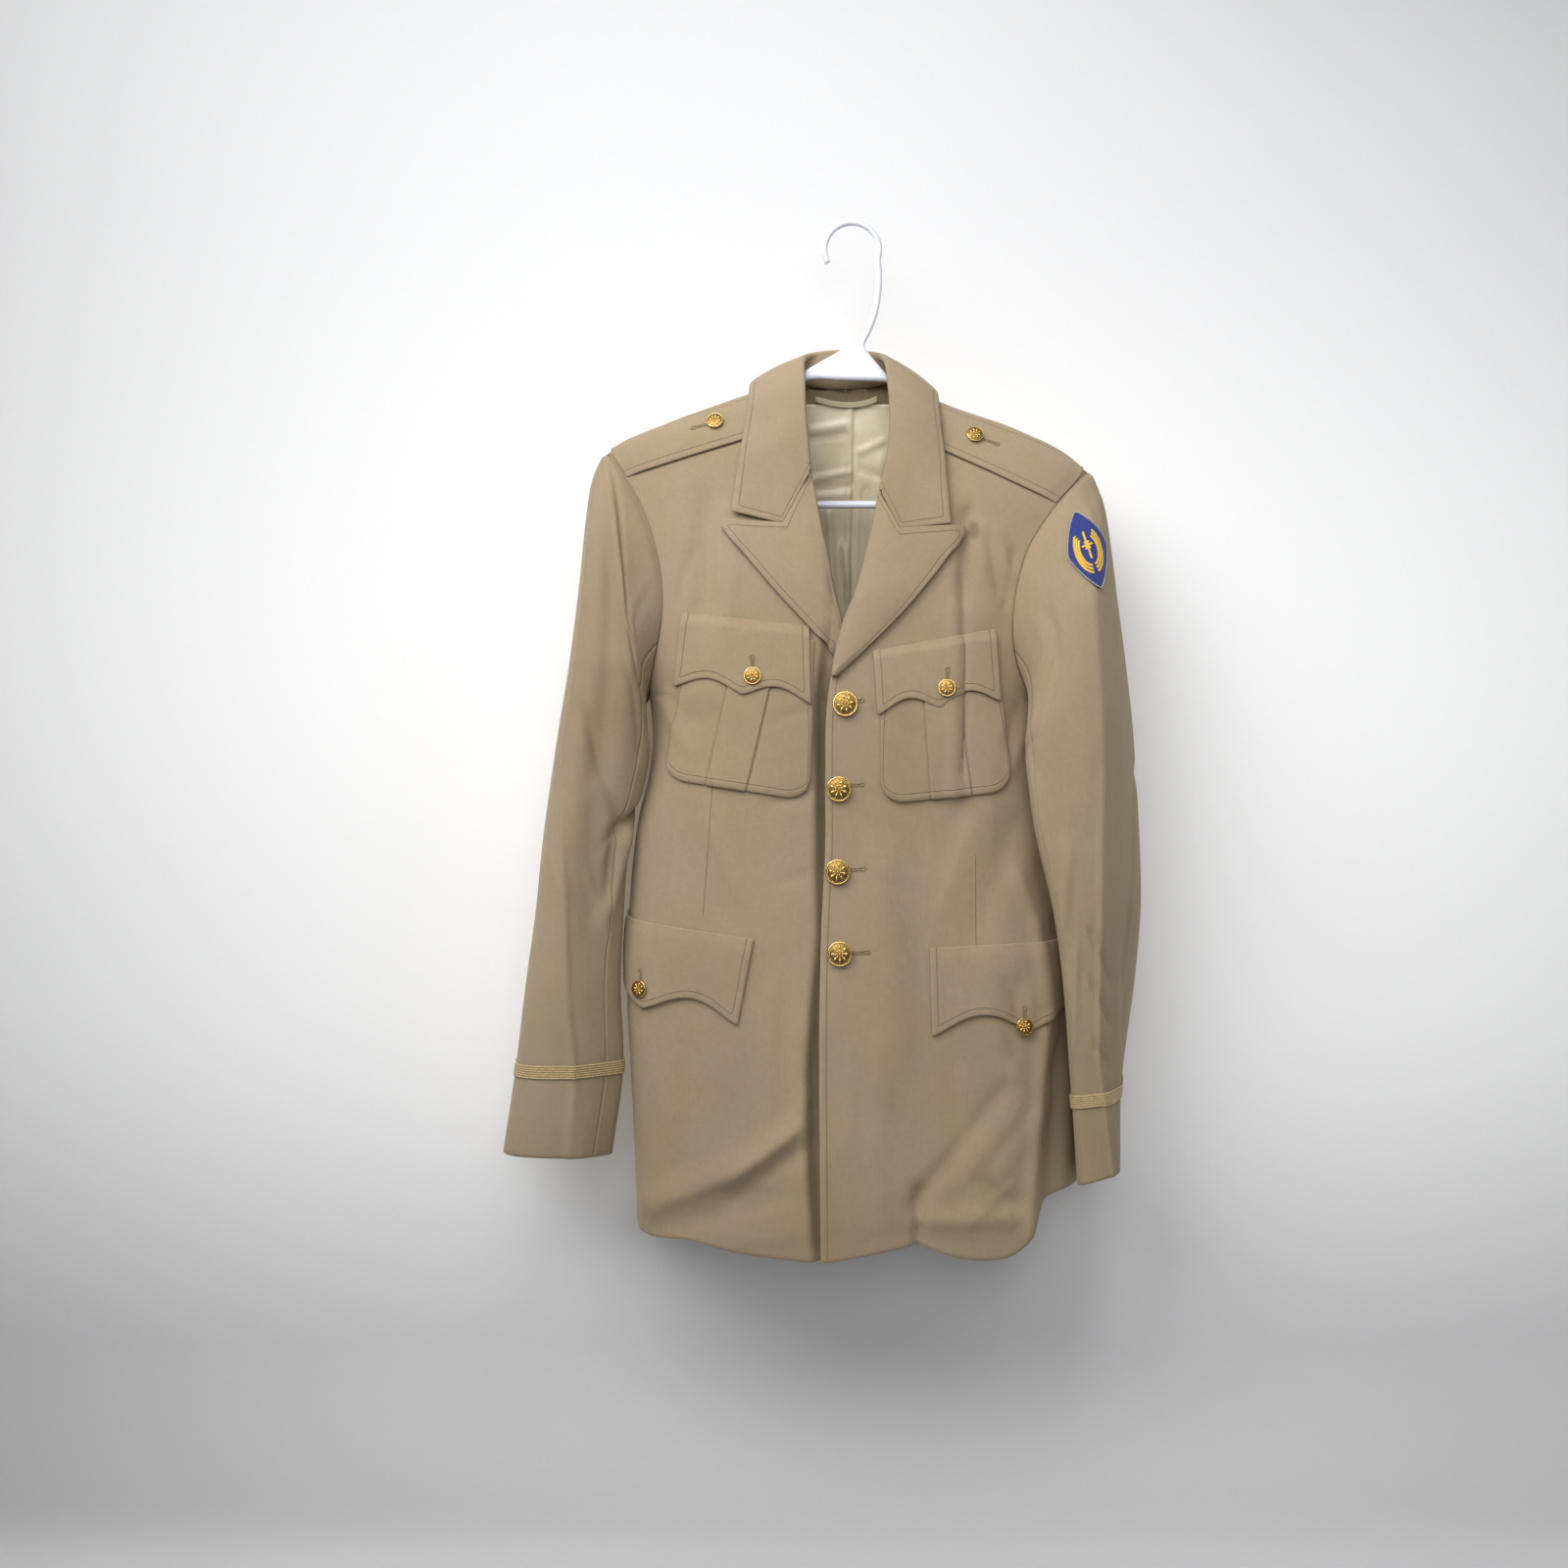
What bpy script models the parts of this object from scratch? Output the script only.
"""A tan single-breasted uniform jacket hanging buttoned on a plain plastic hanger.

All sizes are in millimetres in the drawing's own numbers: x to the wearer's left, y from the front to
the back, z up. DATUM is the inside top of the hook there, and every point is moved by it at the end, so
that the part's origin is where a rail or a hook holds the hanger. The body of the jacket is one surface,
worked out from the sections in BODY: a place on it is given by `a`, the distance along the section
from the middle of the front, and by z. Each cut piece is a wall between two offsets of that surface.
"""
import math

import bmesh
import bpy
import numpy as np
from mathutils import Vector

MM = 0.001
DATUM = np.array((4.3, 0.0, 18.4))

# Thickness of each kind of wall, and the gap kept between neighbours
SEAM_GAP = 0.3
FRONT_WALL = 2.2
BACK_WALL = 1.6
SLEEVE_WALL = 1.8
COLLAR_WALL = 2.0
LAPEL_WALL = 2.2
PATCH_WALL = 1.4
FLAP_WALL = 1.6
LINING_WALL = 1.0
RIGHT, LEFT = -1, 1          # the wearer's right is at -x, the wearer's left at +x


def table(columns, *rows):
    """Rows of numbers under named columns, as one array for each name."""
    values = np.array(rows, dtype=float)
    return {name: values[:, i] for i, name in enumerate(columns.split())}


def column(rows, key, name, at):
    """A column's value at a key, on a smooth curve through the rows."""
    keys, values = rows[key], rows[name]
    if keys[0] > keys[-1]:
        keys, values = keys[::-1], values[::-1]
    slopes = np.gradient(values, keys)
    at = np.clip(at, keys[0], keys[-1])
    i = np.clip(np.searchsorted(keys, at) - 1, 0, len(keys) - 2)
    span = keys[i + 1] - keys[i]
    t = (at - keys[i]) / span
    return (values[i] * (1 + 2 * t) * (1 - t) ** 2 + slopes[i] * span * t * (1 - t) ** 2
            + values[i + 1] * t * t * (3 - 2 * t) + slopes[i + 1] * span * t * t * (t - 1))


def step(low, high, value):
    """Smoothly 0 below low and 1 above high (or the other way round when low is above high)."""
    t = np.clip((value - low) / (high - low), 0, 1)
    return t * t * (3 - 2 * t)


# --- The body: one section for each height ------------------------------------------------------------
# Corners of the section's frame: front and back at each side, then the depth of front and back, and how
# square the section is (2 is an ellipse). Above the shoulder tips the sections end on the ridge.
BODY = table(
    "z     right_f left_f right_b left_b front back square",
    (-124, -58, 52, -58, 52, -13, 21, 2.1),
    (-134, -79, 64, -79, 64, -16, 25, 2.1),
    (-146, -106, 83, -106, 83, -20, 29, 2.2),
    (-158, -134, 114, -134, 114, -23, 32, 2.2),
    (-170, -165, 150, -165, 150, -26, 35, 2.3),
    (-182, -196, 177, -196, 177, -29, 39, 2.4),
    (-194, -222, 197, -222, 197, -33, 42, 2.5),
    (-206, -235, 214, -235, 214, -37, 45, 2.6),
    (-220, -238, 233, -238, 233, -42, 48, 2.7),
    (-240, -236, 241, -236, 245, -48, 51, 2.8),
    (-270, -228, 228, -228, 248, -55, 55, 2.9),
    (-310, -217, 208, -217, 244, -61, 58, 3.1),
    (-350, -208, 190, -208, 236, -64, 59, 3.2),
    (-390, -197, 174, -197, 225, -66, 60, 3.3),
    (-431, -187, 162, -187, 216, -68, 60, 3.4),
    (-470, -184, 160, -184, 215, -69, 59, 3.4),
    (-503, -187, 163, -188, 218, -69, 58, 3.4),
    (-540, -196, 168, -197, 223, -68, 58, 3.4),
    (-586, -202, 172, -204, 229, -67, 57, 3.4),
    (-632, -205, 184, -208, 229, -67, 57, 3.4),
    (-680, -207, 192, -210, 230, -68, 58, 3.4),
    (-725, -206, 194, -210, 230, -70, 60, 3.4),
    (-770, -203, 191, -208, 235, -72, 61, 3.4),
    (-820, -200, 186, -206, 243, -74, 62, 3.3),
    (-870, -197, 181, -205, 248, -76, 63, 3.3),
    (-910, -195, 178, -204, 249, -77, 64, 3.2),
    (-955, -193, 175, -203, 249, -78, 65, 3.2),
)
Z_TOP, Z_LOW = -124.0, -955.0
PANEL_TOP = Z_TOP - 4        # where fronts and back end under the collar
RIDGE_ROWS = 9               # rows of BODY whose ends lie on the shoulder ridge

# Folds that stand in the cloth of the body: from (a, z) to (a, z), how wide and how high (a trough is
# negative). Those past a = 250 or -250 are on the back.
BODY_FOLDS = table(
    "a0    z0    a1    z1   width high",
    (106, -270, 104, -330, 11, -5.0),
    (104, -330, 103, -535, 18, -1.8),
    (127, -290, 124, -350, 13, 2.0),
    (-131, -258, -134, -345, 13, -4.0),
    (-108, -290, -112, -350, 12, 2.5),
    (-182, -900, -105, -867, 15, 6.0),
    (-105, -867, -62, -840, 13, 5.0),
    (-160, -918, -80, -893, 16, -4.5),
    (64, -888, 64, -945, 6, -5.0),
    (74, -912, 145, -912, 10, 5.0),
    (128, -882, 152, -901, 8, -4.0),
    (-40, -745, -36, -905, 14, 4.0),
    (30, -600, 44, -740, 20, 3.0),
    (211, -775, 204, -832, 14, -9.0),
    (204, -832, 197, -925, 14, -10.0),
    (140, -796, 90, -858, 8, -3.6),
    (90, -858, 63, -893, 8, -3.8),
    (156, -810, 104, -874, 10, 3.0),
    (150, -560, 120, -640, 16, -3.0),
    (-150, -545, -122, -620, 16, -3.0),
    (330, -330, 350, -520, 16, -4.5),
    (372, -300, 392, -470, 18, 3.5),
    (-318, -320, -338, -500, 16, -4.5),
    (-360, -340, -378, -520, 16, 3.0),
    (-420, -600, -400, -800, 24, 4.0),
    (300, -640, 322, -880, 20, -4.0),
    (-300, -700, -316, -900, 20, -4.0),
    (360, -820, 452, -868, 18, 4.5),
)

# Where the front edges run: x of the free edge, which is the roll line above the top button. The right
# front passes under the left one.
RIGHT_EDGE = table(
    "z x",
    (-128, -58), (-150, -53.5), (-185, -47), (-222, -38.5), (-250, -30), (-274, -25.5), (-300, -19.5),
    (-333, -13.5), (-362, -6), (-392, 2), (-410, 10), (-425, 13), (-460, 13), (-955, 13))
LEFT_EDGE = table(
    "z x",
    (-128, 55), (-135, 53.5), (-150, 50), (-180, 45), (-211, 39.5), (-240, 31), (-294, 16.5), (-333, 6.5), (-362, -5),
    (-391, -12), (-413, -16.5), (-440, -20), (-500, -21.5), (-566, -21.5), (-640, -25), (-955, -26))
# How deep the right front dives before it passes under the left one, and how open that gap looks
DIVE = table(
    "z    deep  starts",
    (-360, 2, -26), (-395, 9, -30), (-428, 19, -33), (-540, 20, -33), (-600, 15, -33), (-660, 11, -33),
    (-705, 15, -37), (-760, 20, -41), (-860, 20, -41), (-915, 16, -38), (-955, 12, -34))
LEFT_LAP = 4.5               # how far the left front stands off where it lies on the right one
LAP_FADES = (22, 72)

# Armholes: x of the seam on the front, and on the back the share of the way from the middle of the back
# to the side seam. They close at the shoulder tip and at the underarm.
ARMHOLE = {
    RIGHT: dict(tip=-199.0, under=-431.0, front=table(
        "z x", (-199, -229), (-212, -217), (-227, -207), (-252, -193), (-275, -184), (-296, -178),
        (-322, -173.5), (-343, -172.5), (-364, -174), (-385, -178), (-405, -182), (-420, -185.4),
        (-428, -186.9), (-431, -187.2)), back=table(
        "z share", (-199, 1), (-215, 0.95), (-235, 0.88), (-262, 0.81), (-300, 0.76), (-340, 0.745),
        (-380, 0.77), (-405, 0.82), (-422, 0.91), (-431, 1))),
    LEFT: dict(tip=-216.0, under=-437.0, front=table(
        "z x", (-216, 229.5), (-230, 212), (-252, 194), (-274, 178), (-293, 167), (-317, 159),
        (-338, 154.5), (-364, 152), (-390, 154), (-412, 161), (-428, 175), (-437, 188)), back=table(
        "z share", (-216, 1), (-232, 0.94), (-252, 0.87), (-280, 0.80), (-315, 0.75), (-350, 0.735),
        (-385, 0.76), (-412, 0.83), (-428, 0.92), (-437, 1))),
}

# Hems: the front's dips in the middle of each half, and the back's is shorter
HEM_FRONT = table(
    "a z",
    (-250, -910), (-236, -918), (-212, -927), (-188, -931), (-150, -931), (-105, -941), (-60, -947), (-26, -949.5),
    (10, -944), (45, -937), (64, -934), (85, -942), (128, -949.5), (158, -944), (172, -932), (186, -908),
    (204, -896), (238, -890), (250, -888))
HEM_BACK = table(
    "a z",
    (-500, -911), (-400, -911), (-300, -914), (-236, -918), (238, -890), (270, -886), (330, -894),
    (420, -907), (500, -911))

ANGLES = np.radians(np.linspace(-330, 150, 961))     # round the section; -90 is the middle of the front
LATTICE_STEP = 2.0
ARCS = np.arange(-640.0, 640.1, LATTICE_STEP)
HEIGHTS = np.arange(Z_LOW - 6, Z_TOP + 4.1, LATTICE_STEP)


def rounded(angle, square):
    """Across and front-to-back shares, -1 to 1, of a rounded square's outline at an angle."""
    across, deep = np.cos(angle), np.sin(angle)
    size = (np.abs(across) ** square + np.abs(deep) ** square) ** (1 / square)
    return across / size, deep / size


def body_section(z):
    """One section of the body: distance from the middle of the front, x and y, for each angle."""
    row = {name: column(BODY, "z", name, z) for name in BODY}
    across, deep = rounded(ANGLES, row["square"])
    back = (1 + deep) / 2
    right = row["right_f"] + (row["right_b"] - row["right_f"]) * back
    left = row["left_f"] + (row["left_b"] - row["left_f"]) * back
    x = right + (left - right) * (1 + across) / 2
    y = row["front"] + (row["back"] - row["front"]) * back
    a = np.concatenate(([0], np.cumsum(np.hypot(np.diff(x), np.diff(y)))))
    front = np.abs(ANGLES + math.pi / 2) < 1.2
    a -= np.interp(0, x[front], a[front])
    return a, x, y


def at_angle(section, degrees):
    """Distance from the middle of the front to an angle of the section."""
    return np.interp(math.radians(degrees), ANGLES, section[0])


SECTIONS = [body_section(z) for z in HEIGHTS]
BODY_X = np.array([np.interp(ARCS, a, x) for a, x, y in SECTIONS])
BODY_Y = np.array([np.interp(ARCS, a, y) for a, x, y in SECTIONS])
SIDE_ARC = {RIGHT: np.array([at_angle(s, -180) for s in SECTIONS]),
            LEFT: np.array([at_angle(s, 0) for s in SECTIONS])}
FRONT_HALF = (ANGLES > -math.pi) & (ANGLES < 0)
BACK_HALF = {RIGHT: np.abs(ANGLES + 1.5 * math.pi) < 1.4, LEFT: np.abs(ANGLES - math.pi / 2) < 1.4}


def back_at(section, side, x):
    """Distance along a section to a place on the back, reached round the given side."""
    half = BACK_HALF[side]
    return np.interp(-x, -section[1][half], section[0][half])


BACK_ARC = {side: np.array([back_at(s, side, 0) for s in SECTIONS]) for side in (RIGHT, LEFT)}


def on_lattice(values, a, z):
    """Value of a lattice over ARCS and HEIGHTS at each a and z."""
    u = np.clip((a - ARCS[0]) / LATTICE_STEP, 0, len(ARCS) - 1.001)
    v = np.clip((z - HEIGHTS[0]) / LATTICE_STEP, 0, len(HEIGHTS) - 1.001)
    i, j = u.astype(int), v.astype(int)
    u, v = u - i, v - j
    low = values[j, i] * (1 - u) + values[j, i + 1] * u
    high = values[j + 1, i] * (1 - u) + values[j + 1, i + 1] * u
    return low * (1 - v) + high * v


def side_arc(side, z):
    """Where the side seam, or higher up the shoulder seam, is on a section."""
    return np.interp(z, HEIGHTS, SIDE_ARC[side])


def back_arc(side, z):
    """Where the middle of the back is on a section."""
    return np.interp(z, HEIGHTS, BACK_ARC[side])


def arc_at(x, z):
    """Distance along the section to a place on the front, from its x."""
    x, z = np.broadcast_arrays(np.asarray(x, float), np.asarray(z, float))
    found = np.empty(x.shape)
    for place in np.ndindex(x.shape):
        a, section_x, _ = SECTIONS[int(round((z[place] - HEIGHTS[0]) / LATTICE_STEP))]
        found[place] = np.interp(x[place], section_x[FRONT_HALF], a[FRONT_HALF])
    return found


def fold_height(folds, a, z):
    """How far the folds of a table lift the cloth; rows that start where the last one ends are one fold."""
    lift, strand, end = np.zeros(np.shape(a)), np.zeros(np.shape(a)), None
    for a0, z0, a1, z1, width, high in zip(*folds.values()):
        length = math.hypot(a1 - a0, z1 - z0)
        along = ((a - a0) * (a1 - a0) + (z - z0) * (z1 - z0)) / length
        aside = ((a - a0) * (z1 - z0) - (z - z0) * (a1 - a0)) / length
        past = np.maximum(np.maximum(-along, along - length), 0)
        one = high * np.exp(-(aside / width) ** 2) * np.exp(-(past / (1.6 * width)) ** 2)
        if (a0, z0) == end:
            strand = np.where(np.abs(one) > np.abs(strand), one, strand)
        else:
            lift, strand = lift + strand, one
        end = (a1, z1)
    return lift + strand


def relief(side, a, z):
    """Lift of the cloth from the plain section: folds, the right front's dive and the left one's lap."""
    middle = np.where(a > 0, back_arc(LEFT, z) - a, a - back_arc(RIGHT, z))
    lift = fold_height(BODY_FOLDS, a, z) * step(2, 40, middle)
    if side == RIGHT:
        deep, starts = column(DIVE, "z", "deep", z), column(DIVE, "z", "starts", z)
        lift = lift - deep * step(starts, starts + 10, a)
    if side == LEFT:
        lift = lift + LEFT_LAP * step(LAP_FADES[1], LAP_FADES[0], a) * step(-300, -345, z)
    return lift


def body(side, a, z, lift=0.0):
    """Points of the body's surface at a and z, moved out along the surface by lift."""
    a, z = np.broadcast_arrays(np.asarray(a, float), np.asarray(z, float))

    def plain(a, z):
        x, y = on_lattice(BODY_X, a, z), on_lattice(BODY_Y, a, z)
        run_x = on_lattice(BODY_X, a + 2, z) - on_lattice(BODY_X, a - 2, z)
        run_y = on_lattice(BODY_Y, a + 2, z) - on_lattice(BODY_Y, a - 2, z)
        run = np.hypot(run_x, run_y) + 1e-9
        out = relief(side, a, z)
        return np.stack((x + run_y / run * out, y - run_x / run * out, z + 0 * x), -1)

    here = plain(a, z)
    along = plain(a + 2, z) - plain(a - 2, z)
    up = plain(a, z + 2) - plain(a, z - 2)
    normal = np.cross(along, up)
    normal /= np.linalg.norm(normal, axis=-1, keepdims=True) + 1e-12
    return here + normal * np.asarray(lift)[..., None]


# --- Making solids -------------------------------------------------------------------------------------
def material(name, colour, roughness, metallic=0.0):
    """A plain material of one colour."""
    made = bpy.data.materials.new(name)
    made.use_nodes = True
    shader = made.node_tree.nodes["Principled BSDF"]
    shader.inputs["Base Color"].default_value = (*colour, 1)
    shader.inputs["Roughness"].default_value = roughness
    shader.inputs["Metallic"].default_value = metallic
    return made


def add_object(name, points, faces, finish, smooth=True):
    """One named object from points in drawing millimetres."""
    mesh = bpy.data.meshes.new(name)
    mesh.from_pydata([tuple(p) for p in (np.asarray(points) - DATUM) * MM], [], faces)
    made = bmesh.new()
    made.from_mesh(mesh)
    bmesh.ops.recalc_face_normals(made, faces=made.faces)
    made.to_mesh(mesh)
    made.free()
    if smooth:
        mesh.shade_smooth()
        mesh.set_sharp_from_angle(angle=math.radians(40))
    thing = bpy.data.objects.new(name, mesh)
    thing.data.materials.append(finish)
    bpy.context.collection.objects.link(thing)
    return thing


def halves(points, quad):
    """A quad's two triangles, cut along its shorter diagonal."""
    p, q, r, s = quad
    if np.linalg.norm(points[p] - points[r]) <= np.linalg.norm(points[q] - points[s]):
        return [p, q, r], [p, r, s]
    return [p, q, s], [q, r, s]


def wall(name, outer, inner, finish, ring=False):
    """A closed wall between two grids of points; a ring's last column meets its first."""
    rows, cols = outer.shape[:2]
    points = np.concatenate((outer.reshape(-1, 3), inner.reshape(-1, 3)))
    shift = rows * cols
    faces = []
    for r in range(rows - 1):
        for c in range(cols if ring else cols - 1):
            d = (c + 1) % cols
            quad = (r * cols + c, r * cols + d, (r + 1) * cols + d, (r + 1) * cols + c)
            for face in halves(points, quad):
                faces.append(face)
                faces.append([k + shift for k in reversed(face)])
    for c in range(cols if ring else cols - 1):
        d = (c + 1) % cols
        last = (rows - 1) * cols
        faces += halves(points, (d, c, c + shift, d + shift))
        faces += halves(points, (last + c, last + d, last + d + shift, last + c + shift))
    if not ring:
        for r in range(rows - 1):
            e, f = r * cols, (r + 1) * cols
            faces += halves(points, (e, f, f + shift, e + shift))
            e, f = e + cols - 1, f + cols - 1
            faces += halves(points, (f, e, e + shift, f + shift))
    return add_object(name, points, faces, finish)


def normals(grid, towards):
    """Normal at each point of a grid, on the side that a rough direction gives."""
    normal = np.cross(np.gradient(grid, axis=0), np.gradient(grid, axis=1))
    normal /= np.linalg.norm(normal, axis=-1, keepdims=True) + 1e-12
    facing = np.sum(normal * towards)
    return normal if facing > 0 else -normal


def spread(low, high, count):
    """Even steps from low to high, which may be arrays, as a new last axis."""
    share = np.linspace(0, 1, count)
    low, high = np.asarray(low, float)[..., None], np.asarray(high, float)[..., None]
    return low + (high - low) * share


def lathe(name, profile, centre, axis, finish, sides=12):
    """A turned piece: profile rows are (radius, height along the axis), closed at both ends."""
    axis = Vector(axis).normalized()
    turn = Vector((0, 0, 1)).rotation_difference(axis).to_matrix()
    points, faces = [], []
    for radius, height in profile[1:-1]:
        for k in range(sides):
            angle = 2 * math.pi * k / sides
            local = Vector((radius * math.cos(angle), radius * math.sin(angle), height))
            points.append(np.array(centre) + np.array(turn @ local))
    for end in (profile[0], profile[-1]):
        points.append(np.array(centre) + np.array(turn @ Vector((0, 0, end[1]))))
    bottom, top = len(points) - 2, len(points) - 1
    rings = len(profile) - 2
    for k in range(sides):
        m = (k + 1) % sides
        faces.append([bottom, m, k])
        faces.append([top, (rings - 1) * sides + k, (rings - 1) * sides + m])
        for r in range(rings - 1):
            faces.append([r * sides + k, r * sides + m, (r + 1) * sides + m, (r + 1) * sides + k])
    return add_object(name, points, faces, finish)


def tube(path, radius, sides=8, closed=False):
    """Points and faces of a round rod along a path in the hanger's plane."""
    path = np.array(path, float)
    count = len(path)
    points, faces = [], []
    for i in range(count):
        ahead = path[(i + 1) % count] if closed or i < count - 1 else path[i]
        behind = path[i - 1] if closed or i > 0 else path[i]
        along = (ahead - behind) / np.linalg.norm(ahead - behind)
        aside = np.array((along[2], 0, -along[0]))
        for k in range(sides):
            angle = 2 * math.pi * (k + 0.5) / sides
            points.append(path[i] + radius * (math.cos(angle) * aside + math.sin(angle) * np.array((0, 1, 0))))
    for i in range(count if closed else count - 1):
        j = (i + 1) % count
        for k in range(sides):
            m = (k + 1) % sides
            faces.append([i * sides + k, i * sides + m, j * sides + m, j * sides + k])
    if not closed:
        faces.append(list(range(sides)))
        faces.append([(count - 1) * sides + k for k in range(sides)])
    return points, faces


# --- Cut pieces of the body ----------------------------------------------------------------------------
def armhole_arc(side, z, part):
    """Distance along the section to the armhole seam, on the front or on the back."""
    hole = ARMHOLE[side]
    if part == "front":
        return arc_at(column(hole["front"], "z", "x", z), z)
    share = column(hole["back"], "z", "share", z)
    middle = back_arc(side, z)
    return middle + (side_arc(side, z) - middle) * share


# Angles of a sleeve's columns. The body's rows meet the armhole at the same places, so the seams agree.
FRONT_SEAM = 125.0
TOP_COLUMNS = np.linspace(-FRONT_SEAM, FRONT_SEAM, 17)
UNDER_COLUMNS = np.linspace(FRONT_SEAM, 360 - FRONT_SEAM, 7)
LOW_ROWS, SHOULDER_ROWS = 11, 6


def panel_rows(side, part, top):
    """Heights of a panel's rows and the distance to its outer edge at each."""
    hole = ARMHOLE[side]
    low = np.linspace(Z_LOW, hole["under"], LOW_ROWS)[:-1]
    turns = np.concatenate((TOP_COLUMNS[8:], UNDER_COLUMNS[1:4]))[::-1]
    armhole = hole["under"] + (hole["tip"] - hole["under"]) * (1 + np.cos(np.radians(turns))) / 2
    high = np.linspace(hole["tip"], top, SHOULDER_ROWS)[1:]
    z = np.concatenate((low, armhole, high))
    outer = side_arc(side, z)
    inside = (z > hole["under"] + 0.1) & (z < hole["tip"] - 0.1)
    outer[inside] = armhole_arc(side, z[inside], part)
    return z, outer


HEM_REACH = 0.25             # share of the body's height over which the rows are drawn up to the hem line


def hung(z, a, hem, inner_at, outer_at):
    """A panel's places, with its lowest rows drawn up to the hem line between its own two edges."""
    share = (z - Z_LOW) / (Z_TOP - Z_LOW)
    low = share < HEM_REACH
    hem_z = column(hem, "a", "z", a)
    heights = z[:, None] + (hem_z - Z_LOW) * np.clip(1 - share / HEM_REACH, 0, 1)[:, None]
    inner, outer = inner_at(heights[low]), outer_at(heights[low])
    a[low] = inner + (outer - inner) * np.linspace(0, 1, a.shape[1])
    return a, heights


def make_front(name, side, edge, finish, cols):
    """One front, from its free edge to the side seam, armhole and shoulder seam."""
    def inner_at(z):
        return arc_at(column(edge, "z", "x", z), z)

    def outer_at(z):
        return side_arc(side, z) - side * SEAM_GAP / 2

    z, outer = panel_rows(side, "front", PANEL_TOP)
    a = spread(inner_at(z), outer - side * SEAM_GAP / 2, cols)
    a, z = hung(z, a, HEM_FRONT, inner_at, outer_at)
    panel_wall(name, side, a, z, FRONT_WALL, finish)


def panel_wall(name, side, a, z, thick, finish):
    """A wall whose outer face is the body's surface at a grid of places."""
    outer = body(side, a, z)
    exact = body(side, a, z, 1.0) - outer
    out = normals(outer, exact)
    out[:, (0, -1)] = exact[:, (0, -1)]          # so that both pieces at a seam have the same edge
    wall(name, outer, outer - out * thick, finish)


BACK_NECK = table("x z", (0, -136.5), (15, -135), (34, -132.5), (50, -129), (60, -128))


def make_back(name, side, finish, cols):
    """One half of the back, from the middle seam to the side seam, armhole and shoulder seam."""
    def inner_at(z):
        return back_arc(side, z) - side * SEAM_GAP / 2

    def outer_at(z):
        return side_arc(side, z) + side * SEAM_GAP / 2

    z, outer = panel_rows(side, "back", PANEL_TOP)
    a = spread(inner_at(z), outer + side * SEAM_GAP / 2, cols)
    a, z = hung(z, a, HEM_BACK, inner_at, outer_at)
    off_middle = side * (back_arc(side, z[-1]) - a[-1])
    z[-1] = column(BACK_NECK, "x", "z", off_middle)
    a[-1, :-1] = (back_arc(side, z[-1]) - side * off_middle)[:-1]
    panel_wall(name, 0, a, z, BACK_WALL, finish)


# --- Sleeves -------------------------------------------------------------------------------------------
# One section for each row, from the armhole to the cuff: heights of the outer and inner edge, x of the
# outer and inner corners at the front and at the back, front and back depth, and squareness.
SLEEVE = {
    RIGHT: table(
        "row z_out z_in  out_f in_f  out_b in_b  front back square",
        (0, -199, -430, -222, -176, -234, -198, -48, 54, 2.6),
        (1, -222, -442, -236, -180, -246, -206, -66, 60, 2.6),
        (2, -262, -453, -243, -177, -252, -214, -78, 64, 2.6),
        (3, -325, -468, -249, -175, -258, -216, -85, 64, 2.7),
        (4, -398, -490, -257, -174, -268, -212, -89, 61, 2.8),
        (5, -468, -520, -268, -182, -279, -212, -90, 57, 2.8),
        (6, -560, -575, -281, -197, -292, -220, -87, 52, 2.8),
        (7, -630, -633, -289, -204, -298, -220, -84, 48, 2.8),
        (8, -700, -700, -299, -207, -307, -223, -80, 44, 2.8),
        (9, -780, -778, -310, -204, -316, -222, -68, 38, 2.8),
        (10, -857, -859, -322, -216, -328, -230, -58, 34, 2.8)),
    LEFT: table(
        "row z_out z_in  out_f in_f  out_b in_b  front back square",
        (0, -216, -437, 225, 163, 238, 213, -48, 56, 2.6),
        (1, -245, -449, 236, 154, 250, 230, -70, 60, 2.7),
        (2, -290, -460, 239, 146, 259, 234, -86, 60, 2.8),
        (3, -340, -473, 240, 143, 268, 236, -95, 56, 3.0),
        (4, -400, -490, 242, 141, 277, 236, -101, 50, 3.2),
        (5, -466, -518, 243, 146, 285, 233, -104, 46, 3.4),
        (6, -540, -560, 243, 155, 290, 231, -104, 44, 3.6),
        (7, -620, -630, 243, 175, 293, 235, -101, 46, 3.8),
        (8, -695, -700, 243, 185, 286, 247, -98, 48, 3.8),
        (9, -760, -765, 245, 191, 275, 247, -95, 50, 3.8),
        (10, -815, -822, 248, 197, 264, 242, -92, 50, 3.8),
        (11, -866, -880, 252, 203, 257, 234, -88, 48, 3.6)),
}
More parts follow.
